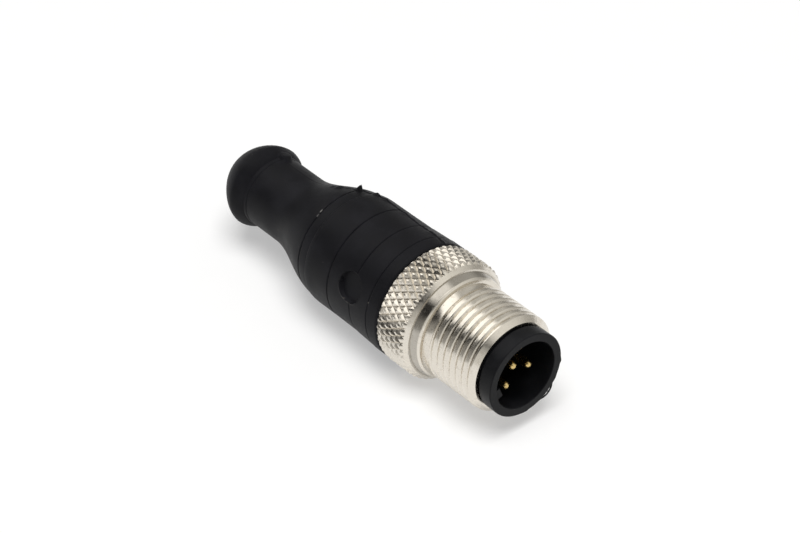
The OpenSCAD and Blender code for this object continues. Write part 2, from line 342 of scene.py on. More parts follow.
# %% Where the marks are
# Each row: station in mm, degrees round the axis, radius in mm, the mark's reach along
# x, y and z in mm, and its shade.
mark_rows = [
    # a scuff across the fourth groove
    (31.38, 118, 6.85, (0.16, 0.34, 0.34), (0.19, 0.185, 0.175)),
    (31.30, 123.5, 6.85, (0.12, 0.40, 0.30), (0.15, 0.145, 0.14)),
    (31.5, 112, 6.85, (0.10, 0.26, 0.2), (0.08, 0.078, 0.075)),
    # specks on the front bands
    (18.5, 161, 7.3, (0.10, 0.12, 0.2), (0.15, 0.14, 0.12)),
    (21.5, 183.5, 7.1, (0.10, 0.14, 0.18), (0.13, 0.12, 0.11)),
    (17.7, 169, 7.3, (0.09, 0.10, 0.16), (0.15, 0.14, 0.12)),
    # the gate's lower edge: a painted highlight, a pale line where its rim catches the light
    (21.9, 175.2, 7.1, (0.6, 0.5, 0.08), (0.045, 0.042, 0.038)),
    (21.1, 174.2, 7.1, (0.45, 0.5, 0.07), (0.035, 0.033, 0.030)),
    (22.7, 173.9, 7.1, (0.40, 0.5, 0.08), (0.07, 0.065, 0.058))]
marks = [(point_at(s * MM, r * MM, math.radians(degrees)), tuple(v * MM for v in reach), shade)
         for s, degrees, r, reach, shade in mark_rows]
print(len(marks), "marks on the body")

# %% Black skin
grain_size = 0.11 * MM
cloud_size = 3.0 * MM


def black_moulding(name, color, roughness, grain_depth, specular, dust, marks=()):
    skin = Finish(name, color, roughness, specular=specular)
    clouds = skin.noise(1 / cloud_size, detail=4)
    grain = skin.noise(1 / grain_size, detail=3)
    dark = tuple(c * 0.72 for c in color)
    light = tuple(c * 1.5 + 0.002 for c in color)
    tone = skin.ramp(clouds, (0.3, dark), (0.5, color), (0.75, light))
    tone = dusted(skin, tone, grain, dust)
    # the marks include a painted highlight along the gate's lower edge
    for spot, reach, shade in marks:
        tone = scuff_and_highlight_mark(skin, tone, spot, reach, shade)
    return skin.feed(
        Base_Color=tone,
        Roughness=skin.spread(clouds, roughness - 0.05, roughness + 0.08),
        Normal=skin.bump(grain, grain_depth, 0.7,
                         after=skin.bump(clouds, grain_depth * 3, 0.4)))


body_black = black_moulding("black_tpu", (0.0056, 0.0056, 0.0072), roughness=0.50,
                            grain_depth=0.016 * MM, specular=0.115, dust=0.55, marks=marks)
carrier_black = black_moulding("carrier_black", (0.0056, 0.0058, 0.0068), roughness=0.40,
                               grain_depth=0.005 * MM, specular=0.11, dust=0.3)
print("black skins", body_black.name, carrier_black.name)

# %% [markdown]
# ## Bright nickel
#
# The coupling screw is turned brass under bright nickel, which is a warm, slightly
# yellow metal and not a blue chrome. The lathe leaves rings a few hundredths of a
# millimetre apart, so the bump's noise is squeezed along X and even around the axis.
# Small, irregular dull spots are the wear that keeps it from looking like a mirror.
#
# The corner between the collar and the ring is painted darker: painted shade for the dark
# reflections it catches from the ring and the black body. The rolled ring behind it is a
# touch rougher than the turned thread. Both follow from the station alone.

# %% Painted shade in the corner, and the rolled ring
corner_front = 10.85 * MM
corner_back = 11.75 * MM
corner_edge = 0.02 * MM
# how far the painted shade darkens the corner's colour
painted_shade_brightness = 0.62
rolled_roughness = 0.04
rolled_edge = 0.1 * MM


def shaded_corner_and_rough_ring(metal, color, tone, gloss):
    """Painted shade in the corner's colour, and more roughness on the ring behind it."""
    x = metal.along_axes()["X"]
    middle = nose_x - (corner_front + corner_back) / 2
    half = (corner_back - corner_front) / 2
    off_middle = metal.step("ABSOLUTE", metal.step("SUBTRACT", x, middle))
    inside = metal.spread(off_middle, 1, 0, half - corner_edge, half + corner_edge)
    # painted shade: the corner's colour is darkened for the dark reflections it catches
    tone = metal.mixed(inside, tone, tuple(c * painted_shade_brightness for c in color))
    ring_starts = nose_x - corner_back
    rolled = metal.spread(x, rolled_roughness, 0, ring_starts - rolled_edge, ring_starts)
    return tone, metal.step("ADD", rolled, gloss)


print("corner", round((corner_back - corner_front) / MM, 2), "mm wide")

# %% Nickel, and the lathe's rings
tool_pitch = 0.06 * MM
ring_change = 0.15 / MM
dull_spot_size = 0.5 * MM
scratch_size = 0.12 * MM


def turned_metal(name, color, tarnish, roughness, ring_depth, shade_and_gloss=None):
    metal = Finish(name, color, roughness, metallic=1.0)
    along_the_tool = metal.stretched((1 / tool_pitch, ring_change, ring_change))
    rings = metal.noise(1.0, detail=3, vector=along_the_tool)
    spots = metal.noise(1 / dull_spot_size, detail=5, distortion=0.3)
    scratches = metal.noise(1 / scratch_size, detail=2)
    tone = metal.ramp(spots, (0.16, tarnish), (0.40, color), (0.8, color))
    gloss = metal.spread(spots, roughness + 0.07, roughness - 0.04, 0.35, 0.65)
    if shade_and_gloss:
        tone, gloss = shade_and_gloss(metal, color, tone, gloss)
    return metal.feed(
        Base_Color=tone,
        Roughness=gloss,
        Normal=metal.bump(rings, ring_depth, 0.5,
                          after=metal.bump(scratches, ring_depth, 0.25)))


# the nickel carries painted shade in the corner between the collar and the ring
nickel = turned_metal("nickel_brass", (0.72, 0.675, 0.60), (0.56, 0.50, 0.42), 0.22,
                      0.003 * MM, shade_and_gloss=shaded_corner_and_rough_ring)
gold = turned_metal("gold_plate", (0.70, 0.52, 0.22), (0.45, 0.31, 0.12), 0.24, 0.003 * MM)
solder_tin = turned_metal("solder", (0.66, 0.66, 0.64), (0.42, 0.42, 0.42), 0.32,
                          0.008 * MM)
tinned_copper = turned_metal("tinned_wire", (0.63, 0.62, 0.60), (0.46, 0.42, 0.38), 0.30,
                             0.003 * MM)
print("metals", nickel.name, gold.name, solder_tin.name, tinned_copper.name)

# %% [markdown]
# ## The sealed pieces
#
# Nobody sees these until the body is cut open, but they're real pieces: natural
# polyethylene around the terminating resistor, its lacquer, and its sleeves. Each is
# one colour of plastic with a cloudy tone and its own grain.

# %% Finishes inside
tint_cloud_size = 2 * MM


def tinted_plastic(name, color, roughness, grain, grain_depth, subsurface=0.0):
    plastic = Finish(name, color, roughness)
    plastic.shader.inputs["Subsurface Weight"].default_value = subsurface
    plastic.shader.inputs["Subsurface Scale"].default_value = 1.0 * MM
    clouds = plastic.noise(1 / tint_cloud_size, detail=3)
    fine_grain = plastic.noise(1 / grain, detail=2)
    return plastic.feed(
        Base_Color=plastic.ramp(clouds, (0.3, tuple(c * 0.85 for c in color)), (0.7, color)),
        Roughness=plastic.spread(fine_grain, roughness - 0.06, roughness + 0.08),
        Normal=plastic.bump(fine_grain, grain_depth, 0.5))


premould = tinted_plastic("premould", (0.80, 0.77, 0.68), 0.45, 0.2 * MM, 0.01 * MM,
                          subsurface=0.15)
lacquer = tinted_plastic("resistor_coat", (0.32, 0.52, 0.62), 0.18, 0.4 * MM, 0.004 * MM)
sleeving = tinted_plastic("sleeve_blue", (0.07, 0.16, 0.42), 0.35, 0.15 * MM, 0.006 * MM)
print("plastics inside", premould.name, lacquer.name, sleeving.name)

# %% [markdown]
# ## Which CAD solids keep their shape
#
# The contacts, the carrier and the sealed pieces are right as solids, so they only
# get their finish: the record names a material slot for each node, and the slot picks
# the finish. The coupling screw and the body are built again in finer meshes
# further down.

# %% Dress the CAD nodes
finishes = {
    "black_tpu": body_black, "carrier_black": carrier_black, "nickel_brass": nickel,
    "gold_plate": gold, "premould": premould, "resistor_coat": lacquer,
    "tinned_wire": tinned_copper, "sleeve_blue": sleeving, "solder": solder_tin}
for part in frame["record"]["subparts"]:
    node = frame["nodes"][part["node"]]
    node.data.materials.clear()
    node.data.materials.append(finishes[part["material_slot"]])

# %% [markdown]
# ## A turned skin in mesh code
#
# Both fine pieces are bodies of revolution with detail on them, so one helper makes
# them: rows of points around the axis, one row for each step along the outline, with
# a radius that may change around the row. The last row joins the first where the
# outline is a closed ring, as on the screw with its bore, and each quad can be cut
# along either diagonal, which is how the knurl gets its crisp grooves.


# %% Rows of points to a mesh
def skin_of_rows(rows, angles, closed, diagonal=None):
    """Points and faces from rows of (station, radius), with one radius for each angle."""
    around = len(angles)
    points = []
    for s, r in rows:
        points.append(np.stack([np.full(around, nose_x - s), r * np.cos(angles),
                                axis_z + r * np.sin(angles)], 1))
    count = len(rows)
    faces = []
    for k in range(count if closed else count - 1):
        near, far = k * around, (k + 1) % count * around
        for i in range(around):
            j = (i + 1) % around
            quad = (near + i, near + j, far + j, far + i)
            cut = diagonal(k, i) if diagonal else None
            if cut is None:
                faces.append(quad)
            elif cut:
                faces += [(quad[0], quad[1], quad[2]), (quad[0], quad[2], quad[3])]
            else:
                faces += [(quad[0], quad[1], quad[3]), (quad[1], quad[2], quad[3])]
    return np.concatenate(points), faces


strip = skin_of_rows([(s, np.ones(3)) for s in (0, 1)], np.arange(3), False)
print("a strip round three corners has", len(strip[0]), "points and", len(strip[1]), "faces")

# %% A piece from points and faces
weld_gap = 0.0005 * MM


def make_piece(name, verts, faces, finish, body, sharp):
    """A welded, smooth piece with sharp edges above an angle in degrees."""
    mesh = bpy.data.meshes.new(name)
    mesh.from_pydata([tuple(v) for v in verts], [], faces)
    mesh.materials.append(finish)
    welded = bmesh.new()
    welded.from_mesh(mesh)
    bmesh.ops.remove_doubles(welded, verts=welded.verts, dist=weld_gap)
    welded.to_mesh(mesh)
    welded.free()
    mesh.polygons.foreach_set("use_smooth", [True] * len(mesh.polygons))
    mesh.set_sharp_from_angle(angle=math.radians(sharp))
    piece = bpy.data.objects.new(name, mesh)
    bpy.context.scene.collection.objects.link(piece)
    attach(piece, body)
    return piece


print("points closer than", weld_gap / MM, "mm are welded")

# %% [markdown]
# ## Coupling screw
#
# One piece of brass: an M12 x 1 thread, a relief neck where the die stopped, a plain
# collar that swells a little towards the grip, and the knurled ring. The thread
# could be a screw modifier on a V profile, but its start and end would then be
# cut by hand. Here the radius is a function of place: how far a point is from
# the nearest groove, counted along the helix, gives the depth, and the lead chamfer
# simply caps it. The run-in and run-out come out by themselves.

# %% Thread
pitch = 1.0 * MM
groove_depth = 0.32 * MM
groove_half = 0.27 * MM
crest_round = 1.35
groove_phase_angle = math.radians(115)
groove_phase_station = 4.2 * MM
thread_end = 9.3 * MM
lead_chamfer = 0.6 * MM
around = 384
angles = np.arange(around) * 2 * math.pi / around


def thread_radius(s):
    """Radius of the right-handed thread at one station, for every angle."""
    turned = pitch * (angles - groove_phase_angle) / (2 * math.pi)
    offset = np.abs((s - (groove_phase_station - turned) + pitch / 2) % pitch - pitch / 2)
    depth = groove_depth * np.clip(1 - offset / groove_half, 0, 1) ** crest_round
    chamfer = thread_r - lead_chamfer + (s - screw_front)
    return np.minimum(thread_r - depth, chamfer)


print("thread of", round((thread_end - screw_front) / pitch, 2), "turns")

# %% [markdown]
# The knurl is two families of V grooves that cross at thirty degrees either side of
# the axis. A point's height is its distance to the nearest groove of either family,
# so the diamonds come out as small pyramids, and a limit on the height cuts their
# tips flat, as a knurling wheel leaves them. The ring's front has a long chamfer, and
# its back edge only a short one. The rows are spaced so that every groove runs
# through the grid's own corners, along the diagonals of its cells.

# %% Knurl
diamonds = 48
knurl_depth = 0.235 * MM
knurl_half_pitch = 0.82 * MM
cells_per_half = around // (2 * diamonds)
tip_flat = 0.68
ring_front = 11.77 * MM
ring_edge = 0.62 * MM
front_slope = 0.85
back_edge = 0.12 * MM
back_slope = 1.6


def knurl_radius(s):
    """Radius of the knurled ring at one station, for every angle."""
    turn = angles * diamonds / (2 * math.pi)
    along = (s - ring_front) / (2 * knurl_half_pitch)
    rising, falling = (1 - 2 * np.abs(family % 1 - 0.5)
                       for family in (turn + along, turn - along))
    height = np.minimum(np.minimum(rising, falling), tip_flat) / tip_flat
    front_cap = crest_r - ring_edge + (s - ring_front) * front_slope
    back_cap = crest_r - back_edge + (screw_back - s) * back_slope
    return np.minimum(crest_r - knurl_depth * (1 - height), np.minimum(front_cap, back_cap))


print("a diamond is", round(2 * math.pi * crest_r / diamonds / MM, 2), "mm wide")

# %% [markdown]
# The screw's outline goes from the front face over the thread, the neck, the collar and
# the ring, and home through the bore. Plain turned rows have one radius all the way
# round. The thread gets 24 rows a turn, and the ring's rows follow the knurl's cells.

# %% Neck and collar
relief_r = 5.7 * MM
relief_end = 10.6 * MM
collar_front_r = 6.33 * MM
collar_back_r = 6.6 * MM
neck = [
    # the thread runs out into the neck
    (thread_end + 0.02 * MM, thread_r - 0.18 * MM),
    (thread_end + 0.16 * MM, relief_r + 0.03 * MM),
    (thread_end + 0.30 * MM, relief_r),
    # the neck's fillet, and the collar's face
    (relief_end - 0.16 * MM, relief_r),
    (relief_end - 0.05 * MM, relief_r + 0.04 * MM),
    (relief_end, relief_r + 0.16 * MM),
    (relief_end + 0.02 * MM, collar_front_r - 0.22 * MM),
    # the collar's small chamfer, and its swelling side
    (relief_end + 0.17 * MM, collar_front_r - 0.03 * MM),
    (relief_end + 0.21 * MM, collar_front_r),
    (ring_front - 0.1 * MM, collar_back_r - 0.02 * MM),
    (ring_front - 0.03 * MM, collar_back_r)]
print("neck", round((relief_end - thread_end) / MM, 2), "mm long")

# %% Screw rows, front to back and home through the bore
rows_a_turn = 24
bore_r = 4.95 * MM
bore_edge = 0.15 * MM


def even(r):
    """The same radius for every angle."""
    return np.full(around, float(r))


rows = [(screw_front, even(bore_r + bore_edge))]
rows += [(s, thread_radius(s)) for s in np.arange(screw_front, thread_end, pitch / rows_a_turn)]
rows += [(s, even(r)) for s, r in neck]
ring_rows_start = len(rows)
knurl_step = knurl_half_pitch / cells_per_half
rows += [(s, knurl_radius(s))
         for s in np.append(np.arange(ring_front, screw_back, knurl_step), screw_back)]
ring_rows_end = len(rows) - 1
rows += [(screw_back, even(bore_r + bore_edge)), (screw_back - bore_edge, even(bore_r)),
         (screw_front + bore_edge, even(bore_r))]
print(len(rows), "rows,", ring_rows_end - ring_rows_start, "of them on the ring")


# %% Screw mesh
def knurl_diagonal(k, i):
    """Cuts each cell of the ring along its groove."""
    if not ring_rows_start <= k < ring_rows_end:
        return None
    block = (k - ring_rows_start) // cells_per_half + i // cells_per_half
    return block % 2 == 0


verts, faces = skin_of_rows(rows, angles, True, knurl_diagonal)
screw = make_piece("coupling_screw_turned", verts, faces, nickel, "screw", 25)
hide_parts("coupling_screw")
print("screw", len(verts), "points,", len(faces), "faces")

# %% [markdown]
# ## Moulded body
#
# The body's outline is the CAD's: four bands, a soft shoulder, a flare down to the
# waist, and a knob with a blunt cap. What makes it a moulding is on top of that: soft
# V grooves where the mould's rings met, a seam that wanders along one side with a
# tooth of flash on it, the sunk disc of the gate, and a pad where the knob was
# trimmed. Each is a small function of the place that adds to the radius, so the
# mesh stays one closed skin.

# %% Body outline
body_front = station(body_high.x)
body_length = body_high.x - body_low.x
band_r = crest_r - 0.06 * MM
long_r = crest_r - 0.32 * MM
waist_r = 4.42 * MM
knob_r = 5.25 * MM
flare_start, flare_length, flare_step = 12.9 * MM, 9.9 * MM, 0.17 * MM
knob_groove = 27.2 * MM
knob_front = 27.75 * MM
knob_top = 29.2 * MM
knob_swell, knob_swell_power = 1.45 * MM, 1.7
knob_blunt = 1.5
knob_groove_lip, knob_undercut = 0.05 * MM, 0.1 * MM

# Distances behind the body's front, and radii there, down to the soft shoulder.
band_rows = [
    (0, band_r - 0.3 * MM), (0.05, band_r - 0.15 * MM), (0.15, band_r - 0.05 * MM),
    (0.3, band_r), (1.85, band_r), (1.86, band_r - 0.04 * MM),
    (4.95, long_r + 0.08 * MM), (4.96, long_r + 0.04 * MM), (8.98, long_r),
    (12.2, long_r), (12.7, long_r - 0.025 * MM), (13.2, long_r - 0.10 * MM)]
band_places = np.array([x for x, r in band_rows]) * MM
band_radii = [r for x, r in band_rows]
print("body", round(body_length / MM, 2), "mm long, waist", round(2 * waist_r / MM, 2), "mm")


# %% Body radius without detail
def eased(x):
    """Smooth step from 0 to 1."""
    x = np.clip(x, 0, 1)
    return x * x * (3 - 2 * x)


def flare(x):
    """Radius of the flare, from the shoulder down to the waist."""
    share = min(max((x - flare_start) / flare_length, 0), 1)
    top = long_r - flare_step
    return top - (top - waist_r) * (1 - math.cos(math.pi * share)) / 2


def outline(x):
    """Radius at a distance behind the body's front, with no detail on it."""
    bands = float(np.interp(x, band_places, band_radii))
    if x < band_places[-1]:
        return bands
    if x < knob_groove:
        return min(flare(x), bands)
    if x < knob_front:
        return waist_r + knob_groove_lip
    if x < knob_top:
        swell = ((knob_top - x) / knob_swell) ** knob_swell_power
        return knob_r - (knob_r - waist_r - knob_undercut) * swell
    share = min((x - knob_top) / (body_length - knob_top), 1)
    return knob_r * max(1 - share ** knob_blunt, 0) ** (1 / knob_blunt)


print("radii in mm", [round(outline(x * MM) / MM, 2) for x in (1, 6, 11, 16, 22, 28, 30)])

# %% [markdown]
# Each detail below takes a station, the angles and the radius there, and gives what it
# adds. The seam is a low lip with a hollow beside it, and fades along the waist. The
# lumps and the tooth are the flash that a worn mould leaves on it. The tooth leans
# towards the front.

# %% Ring grooves
groove_places = [1.85 * MM, 4.95 * MM, 8.98 * MM, 14.6 * MM]
groove_cut, knob_groove_cut, groove_reach = 0.15 * MM, 0.05 * MM, 0.13 * MM
groove_sharpness = 1.2


def around_from(angle, s, centre_s, centre_angle, r):
    """Distances along the axis and round it from a place on the skin."""
    turn = (angle - centre_angle + math.pi) % (2 * math.pi) - math.pi
    return s - centre_s, turn * r


def grooves(x):
    """Depth of the ring grooves at a distance behind the body's front."""
    places = [(place, groove_cut) for place in groove_places]
    places.append((knob_groove, knob_groove_cut))
    return sum(cut * max(0, 1 - abs(x - place) / groove_reach) ** groove_sharpness
               for place, cut in places)


print(len(groove_places) + 1, "grooves, the last one at the knob")

# %% Seam
# station in mm and degrees round the axis, along the seam
seam_path = np.array([(16.6, 69), (18.8, 65), (22, 62.5), (24, 60.5), (27, 59), (29.4, 62),
                      (31.2, 70), (33.6, 78), (38, 76), (43, 76), (51, 76)])
# stations in mm, and how much of the seam there is
seam_fade = ([16.6, 30, 35, 42, 44], [1, 1, 0.12, 0.12, 0])
lip_height, lip_width, lip_off = 0.10 * MM, 0.13 * MM, 0.16 * MM
hollow_depth, hollow_width, hollow_off = 0.09 * MM, 0.10 * MM, 0.10 * MM
# two waves along the seam, in radians a metre, make it uneven
slow_wave, quick_wave = 2100, 5300


def seam(s, angle, r):
    middle = math.radians(float(np.interp(s / MM, seam_path[:, 0], seam_path[:, 1])))
    off = around_from(angle, s, s, middle, r)[1]
    uneven = 0.7 + 0.3 * math.sin(s * slow_wave) * math.sin(s * quick_wave + 1)
    lip = lip_height * np.exp(-((off + lip_off) / lip_width) ** 2)
    hollow = hollow_depth * np.exp(-((off - hollow_off) / hollow_width) ** 2)
    return float(np.interp(s / MM, *seam_fade)) * uneven * (lip - hollow)


print("seam from", seam_path[0, 0], "to", seam_fade[0][-1], "mm behind the rim")

# %% Flash on the seam
# station in mm, degrees, height in mm and size in mm
lumps = [(29.4, 62, 0.24, 0.34), (33.6, 78, 0.24, 0.42), (28.0, 60, 0.16, 0.4),
         (34.6, 78, 0.14, 0.3), (24.6, 60, 0.10, 0.5), (19.6, 64, 0.08, 0.5)]
tooth_s, tooth_angle, tooth_height = 31.15 * MM, math.radians(70.3), 0.90 * MM
tooth_back, tooth_front, tooth_side = 0.62 * MM, 0.24 * MM, 0.40 * MM


def flash(s, angle, r):
    added = 0
    for lump_s, degrees, height, size in lumps:
        along, aside = around_from(angle, s, lump_s * MM, math.radians(degrees), r)
        added += height * MM * np.exp(-(along ** 2 + aside ** 2) / (size * MM) ** 2)
    along, aside = around_from(angle, s, tooth_s, tooth_angle, r)
    reach = np.hypot(along / (tooth_back if along > 0 else tooth_front), aside / tooth_side)
    return added + tooth_height * np.clip(1 - reach, 0, 1)


print(len(lumps), "lumps of flash, and a tooth", round(tooth_height / MM, 2), "mm high")

# %% [markdown]
# The gate is where the plastic came in: a sunk disc with a soft wall, and a burr on its
# lower edge. The pad in front of the knob was trimmed flat, the knob is flatter on
# that side, and no moulding is ever quite round, so two slow waves run over the skin.

# %% Gate
gate_s, gate_angle, gate_r = 21.9 * MM, math.radians(160), 1.8 * MM
gate_depth, gate_wall, gate_wall_off = 0.50 * MM, 0.14 * MM, 0.06 * MM
burr_height, burr_width, burr_off = 0.08 * MM, 0.12 * MM, 0.05 * MM


def gate(s, angle, r):
    along, aside = around_from(angle, s, gate_s, gate_angle, r)
    reach = np.hypot(along, aside)
    sunk = (long_r - gate_depth) / np.cos(np.clip(aside / r, -0.5, 0.5))
    disc = eased((gate_r + gate_wall_off - reach) / gate_wall) * (np.minimum(sunk, r) - r)
    ridge = np.exp(-((reach - gate_r - burr_off) / burr_width) ** 2)
    return disc + burr_height * ridge * np.clip(aside / gate_r, 0, 1)


print("gate", round(2 * gate_r / MM, 1), "mm across,", round(gate_depth / MM, 2), "mm deep")

# %% Pad, flatter side and roundness
pad_s, pad_angle, pad_height = 44.0 * MM, math.radians(69), 0.56 * MM
pad_long, pad_wide, pad_soft = 0.92 * MM, 0.95 * MM, 0.45
flat_s, flat_angle, flat_cut = 44.6 * MM, math.radians(52), 0.22 * MM
flat_spread, flat_ease = 0.5, 0.9 * MM
wave_height, wave_ease = 0.010 * MM, 2 * MM


def pad_share(s, angle, r):
    """How much of the trimmed pad there is: 1 in its middle and 0 off it."""
    along, aside = around_from(angle, s, pad_s, pad_angle, r)
    return eased((1 - np.hypot(along / pad_long, aside / pad_wide)) / pad_soft)


def flat_side(s, angle, r):
    turn = around_from(angle, s, s, flat_angle, 1)[1]
    there = np.exp(-(turn / flat_spread) ** 2) * eased((s - flat_s) / flat_ease)
    return flat_cut * there * (r / knob_r)


def out_of_round(s, angle, r):
    """Two waves that wind slowly round the body, and stop short of the knob's tip."""
    wave = np.sin(3 * angle + s * 260) + 0.6 * np.sin(5 * angle - s * 410 + 2)
    return wave_height * wave * eased((s - body_front) / wave_ease) * (r / knob_r > 0.4)


print("pad", round(2 * pad_long / MM, 1), "mm long, roundness within", wave_height / MM, "mm")


# %% Body radius with every detail
def body_radius(x, angle):
    """Radius of the moulding at a distance behind the body's front, for every angle."""
    s = body_front + x
    plain = np.full(len(angle), outline(x)) - grooves(x)
    r = plain + seam(s, angle, plain) + flash(s, angle, plain) + gate(s, angle, plain)
    r += pad_share(s, angle, plain) * np.maximum(waist_r + pad_height - r, 0)
    r -= flat_side(s, angle, r)
    return r + out_of_round(s, angle, r)


at_tooth = body_radius(tooth_s - body_front, np.array([tooth_angle]))[0]
print("radius at the tooth", round(at_tooth / MM, 2), "mm")

# %% [markdown]
# Rows and columns lie close together only where a detail needs them: at the grooves,
# the shoulder, the tooth, the gate and the knob, and round the seam and the gate. The
# inside is a plain sleeve and the pocket that the inner moulding fills.

# %% Where the body's points lie
columns = [np.arange(0, 360, 2.0), np.arange(50, 86, 0.5), np.arange(142, 179, 0.75)]
body_angles = np.unique(np.round(np.radians(np.concatenate(columns)), 6))
# first, last and step in mm
stretches = [(0, 0.4, 0.05), (0.4, 27.6, 0.2), (27.6, 29.2, 0.12), (13.6, 15.0, 0.06),
             (12.1, 13.6, 0.1), (3.3, 7.3, 0.1)]
stretches += [(place / MM - 0.2, place / MM + 0.21, 0.04)
              for place in groove_places + [knob_groove]]
steps = [np.arange(*stretch) for stretch in stretches]
cap_rows = np.sin(np.linspace(0, math.pi / 2, 26))
steps.append(knob_top / MM + (body_length - knob_top) / MM * cap_rows)
stations = np.unique(np.round(np.concatenate(steps), 3)) * MM
least_gap = 0.012 * MM
stations = stations[np.append(True, np.diff(stations) > least_gap)]
print(len(stations), "rows of", len(body_angles), "points")

# %% Body mesh
core_low, core_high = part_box("inner_moulding")
core_front, core_back = station(core_high.x), station(core_low.x)
core_gap = 0.02 * MM
core_r = (core_high.z - core_low.z) / 2 + core_gap
core_end_r, core_taper = 3.62 * MM, 3.15 * MM
sleeve_r = 4.92 * MM
front_edge = 0.32 * MM
inside = [(core_back, 0), (core_back, core_end_r), (core_back - core_taper, core_r),
          (core_front, core_r), (core_front, sleeve_r), (body_front, sleeve_r),
          (body_front, band_r - front_edge)]
body_rows = [(s, np.full(len(body_angles), float(r))) for s, r in inside]
body_rows += [(body_front + x, body_radius(x, body_angles)) for x in stations[1:-1]]
body_rows.append((body_front + body_length, np.zeros(len(body_angles))))
verts, faces = skin_of_rows(body_rows, body_angles, False)
body = make_piece("overmould_skin", verts, faces, body_black, "plug_body", 38)
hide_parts("overmould_body")
print("body", len(verts), "points,", len(faces), "faces")

# %% [markdown]
# ## Flash on the rim
#
# The carrier's mould leaks a little where its halves meet, so a hair of flash follows
# the rim's lower edge, and a short bridge ties it to the loop that stands off. Both are
# tubes swept along a path of (station, radius, angle).

# %% A hair swept along a path
hair_sides = 8


def swept_hair(path, thickness):
    """Points and faces of a closed tube along places on the rim."""
    centres = [Vector(point_at(*place)) for place in path]
    points, quads = [centres[0]], []
    for k in range(1, len(centres) - 1):
        along = (centres[k + 1] - centres[k - 1]).normalized()
        side = along.cross(Vector((1, 0, 0))).normalized()
        other = along.cross(side)
        for i in range(hair_sides):
            a = 2 * math.pi * i / hair_sides
            points.append(centres[k] + thickness * (math.cos(a) * side + math.sin(a) * other))
    rings = len(centres) - 2
    points.append(centres[-1])
    last = len(points) - 1
    last_ring = 1 + (rings - 1) * hair_sides
    for i in range(hair_sides):
        j = (i + 1) % hair_sides
        quads.append((0, 1 + j, 1 + i))
        for k in range(rings - 1):
            a, b = 1 + k * hair_sides, 1 + (k + 1) * hair_sides
            quads.append((a + i, a + j, b + j, b + i))
        quads.append((last, last_ring + i, last_ring + j))
    return points, quads


print("a hair has", hair_sides, "sides")

# %% Flash
rim_r = 5.2 * MM
hair_start, hair_step, hair_count = 258, 0.85, 121
bridge_start, bridge_step, bridge_count = 308, 0.5, 9
hair_thickness, bridge_thickness = 0.045 * MM, 0.05 * MM
hair_station, hair_sway = 0.16 * MM, 0.06 * MM
hair_lift, hair_wander = 0.02 * MM, 0.07 * MM
bridge_station, bridge_lift, bridge_rise = 0.17 * MM, 0.02, 0.055

edge_hair = []
for k in range(hair_count):
    a = math.radians(hair_start + hair_step * k)
    lift = hair_lift + hair_wander * max(0, math.sin(9 * a) * math.sin(23 * a + 1))
    edge_hair.append((hair_station + hair_sway * math.sin(13 * a), rim_r + lift, a))
bridge = [(bridge_station, rim_r + (bridge_lift + bridge_rise * k) * MM,
           math.radians(bridge_start + bridge_step * k)) for k in range(bridge_count)]
for name, path, thickness in (("flash_hair", edge_hair, hair_thickness),
                              ("flash_bridge", bridge, bridge_thickness)):
    points, quads = swept_hair(path, thickness)
    hair = make_piece(name, points, quads, carrier_black, "plug_body", 60)
    print(hair.name, len(quads), "faces")

# %% [markdown]
# ## Floor and light
#
# The floor is a plain white sheet, big enough that no view sees its edge. Real
# studio white is brighter than any paper: the floor mixes its own shade with a plain
# white for the camera, and for what metal and glass show. Near the plug the paper has
# the larger share, so the plug keeps its soft shadow, and farther away the plain white
# takes over, so the background is clean.


# %% What counts as background
def seen_as_background(bench):
    """1 for the rays that should find the background white: camera, glossy, transmission."""
    path = bench.add("ShaderNodeLightPath")
    total = path.outputs["Is Camera Ray"]
    for kind in ("Is Glossy Ray", "Is Transmission Ray"):
        total = bench.step("MAXIMUM", total, path.outputs[kind])
    return total


def show_mesh(name, verts, quads):
    """An object in the scene, from points and faces."""
    mesh = bpy.data.meshes.new(name)
    mesh.from_pydata(verts, [], quads)
    shown = bpy.data.objects.new(name, mesh)
    bpy.context.scene.collection.objects.link(shown)
    return shown


print("background white for camera, glossy and transmission rays")

# %% Floor
floor_half = 3.0
floor_cells = 12
white_share_near, white_share_far = 0.4, 1.0
white_from, white_to = 0.12, 0.45

paper = Finish("white_paper", (0.93, 0.93, 0.93), 0.9, specular=0.0)
fibres = paper.noise(1 / (4 * MM), detail=3)
paper.feed(Base_Color=paper.ramp(fibres, (0.2, (0.925, 0.925, 0.925)),
                                 (0.8, (0.94, 0.94, 0.94))))
glow = paper.add("ShaderNodeEmission")
glow.inputs["Strength"].default_value = 1.0
away = paper.vector_step("LENGTH", paper.place)
white_share = paper.spread(away, white_share_near, white_share_far, white_from, white_to)
blend = paper.add("ShaderNodeMixShader")
paper.join(paper.step("MULTIPLY", seen_as_background(paper), white_share),
           blend.inputs["Fac"])
paper.join(paper.shader.outputs["BSDF"], blend.inputs[1])
paper.join(glow.outputs["Emission"], blend.inputs[2])
paper.join(blend.outputs["Shader"], paper.output.inputs["Surface"])

grid = np.linspace(-floor_half, floor_half, floor_cells + 1)
side = floor_cells + 1
quads = [(k * side + i, k * side + i + 1, (k + 1) * side + i + 1, (k + 1) * side + i)
         for k in range(floor_cells) for i in range(floor_cells)]
floor = show_mesh("floor", [(x, y, 0) for y in grid for x in grid], quads)
floor.data.materials.append(paper.material)
print("floor", 2 * floor_half, "m wide")

# %% [markdown]
# One large soft box and an even world light the plug. The box hangs over it and leans
# a little towards the camera's side, so the shadow is short and soft and falls close
# round the plug. The world fills the sides, and shows plain white behind everything.
# Polished metal doesn't see the box: it gets a tent of its own further down.

# %% World
world_strength = 0.26
room_color = (1.0, 0.995, 0.985)

world = bpy.data.worlds.new("studio")
bpy.context.scene.world = world
world.use_nodes = True
room = Bench(world.node_tree)


def background(color, strength):
    """Even light of one colour from all round."""
    shade = room.add("ShaderNodeBackground")
    shade.inputs["Color"].default_value = (*color, 1)
    shade.inputs["Strength"].default_value = strength
    return shade.outputs["Background"]


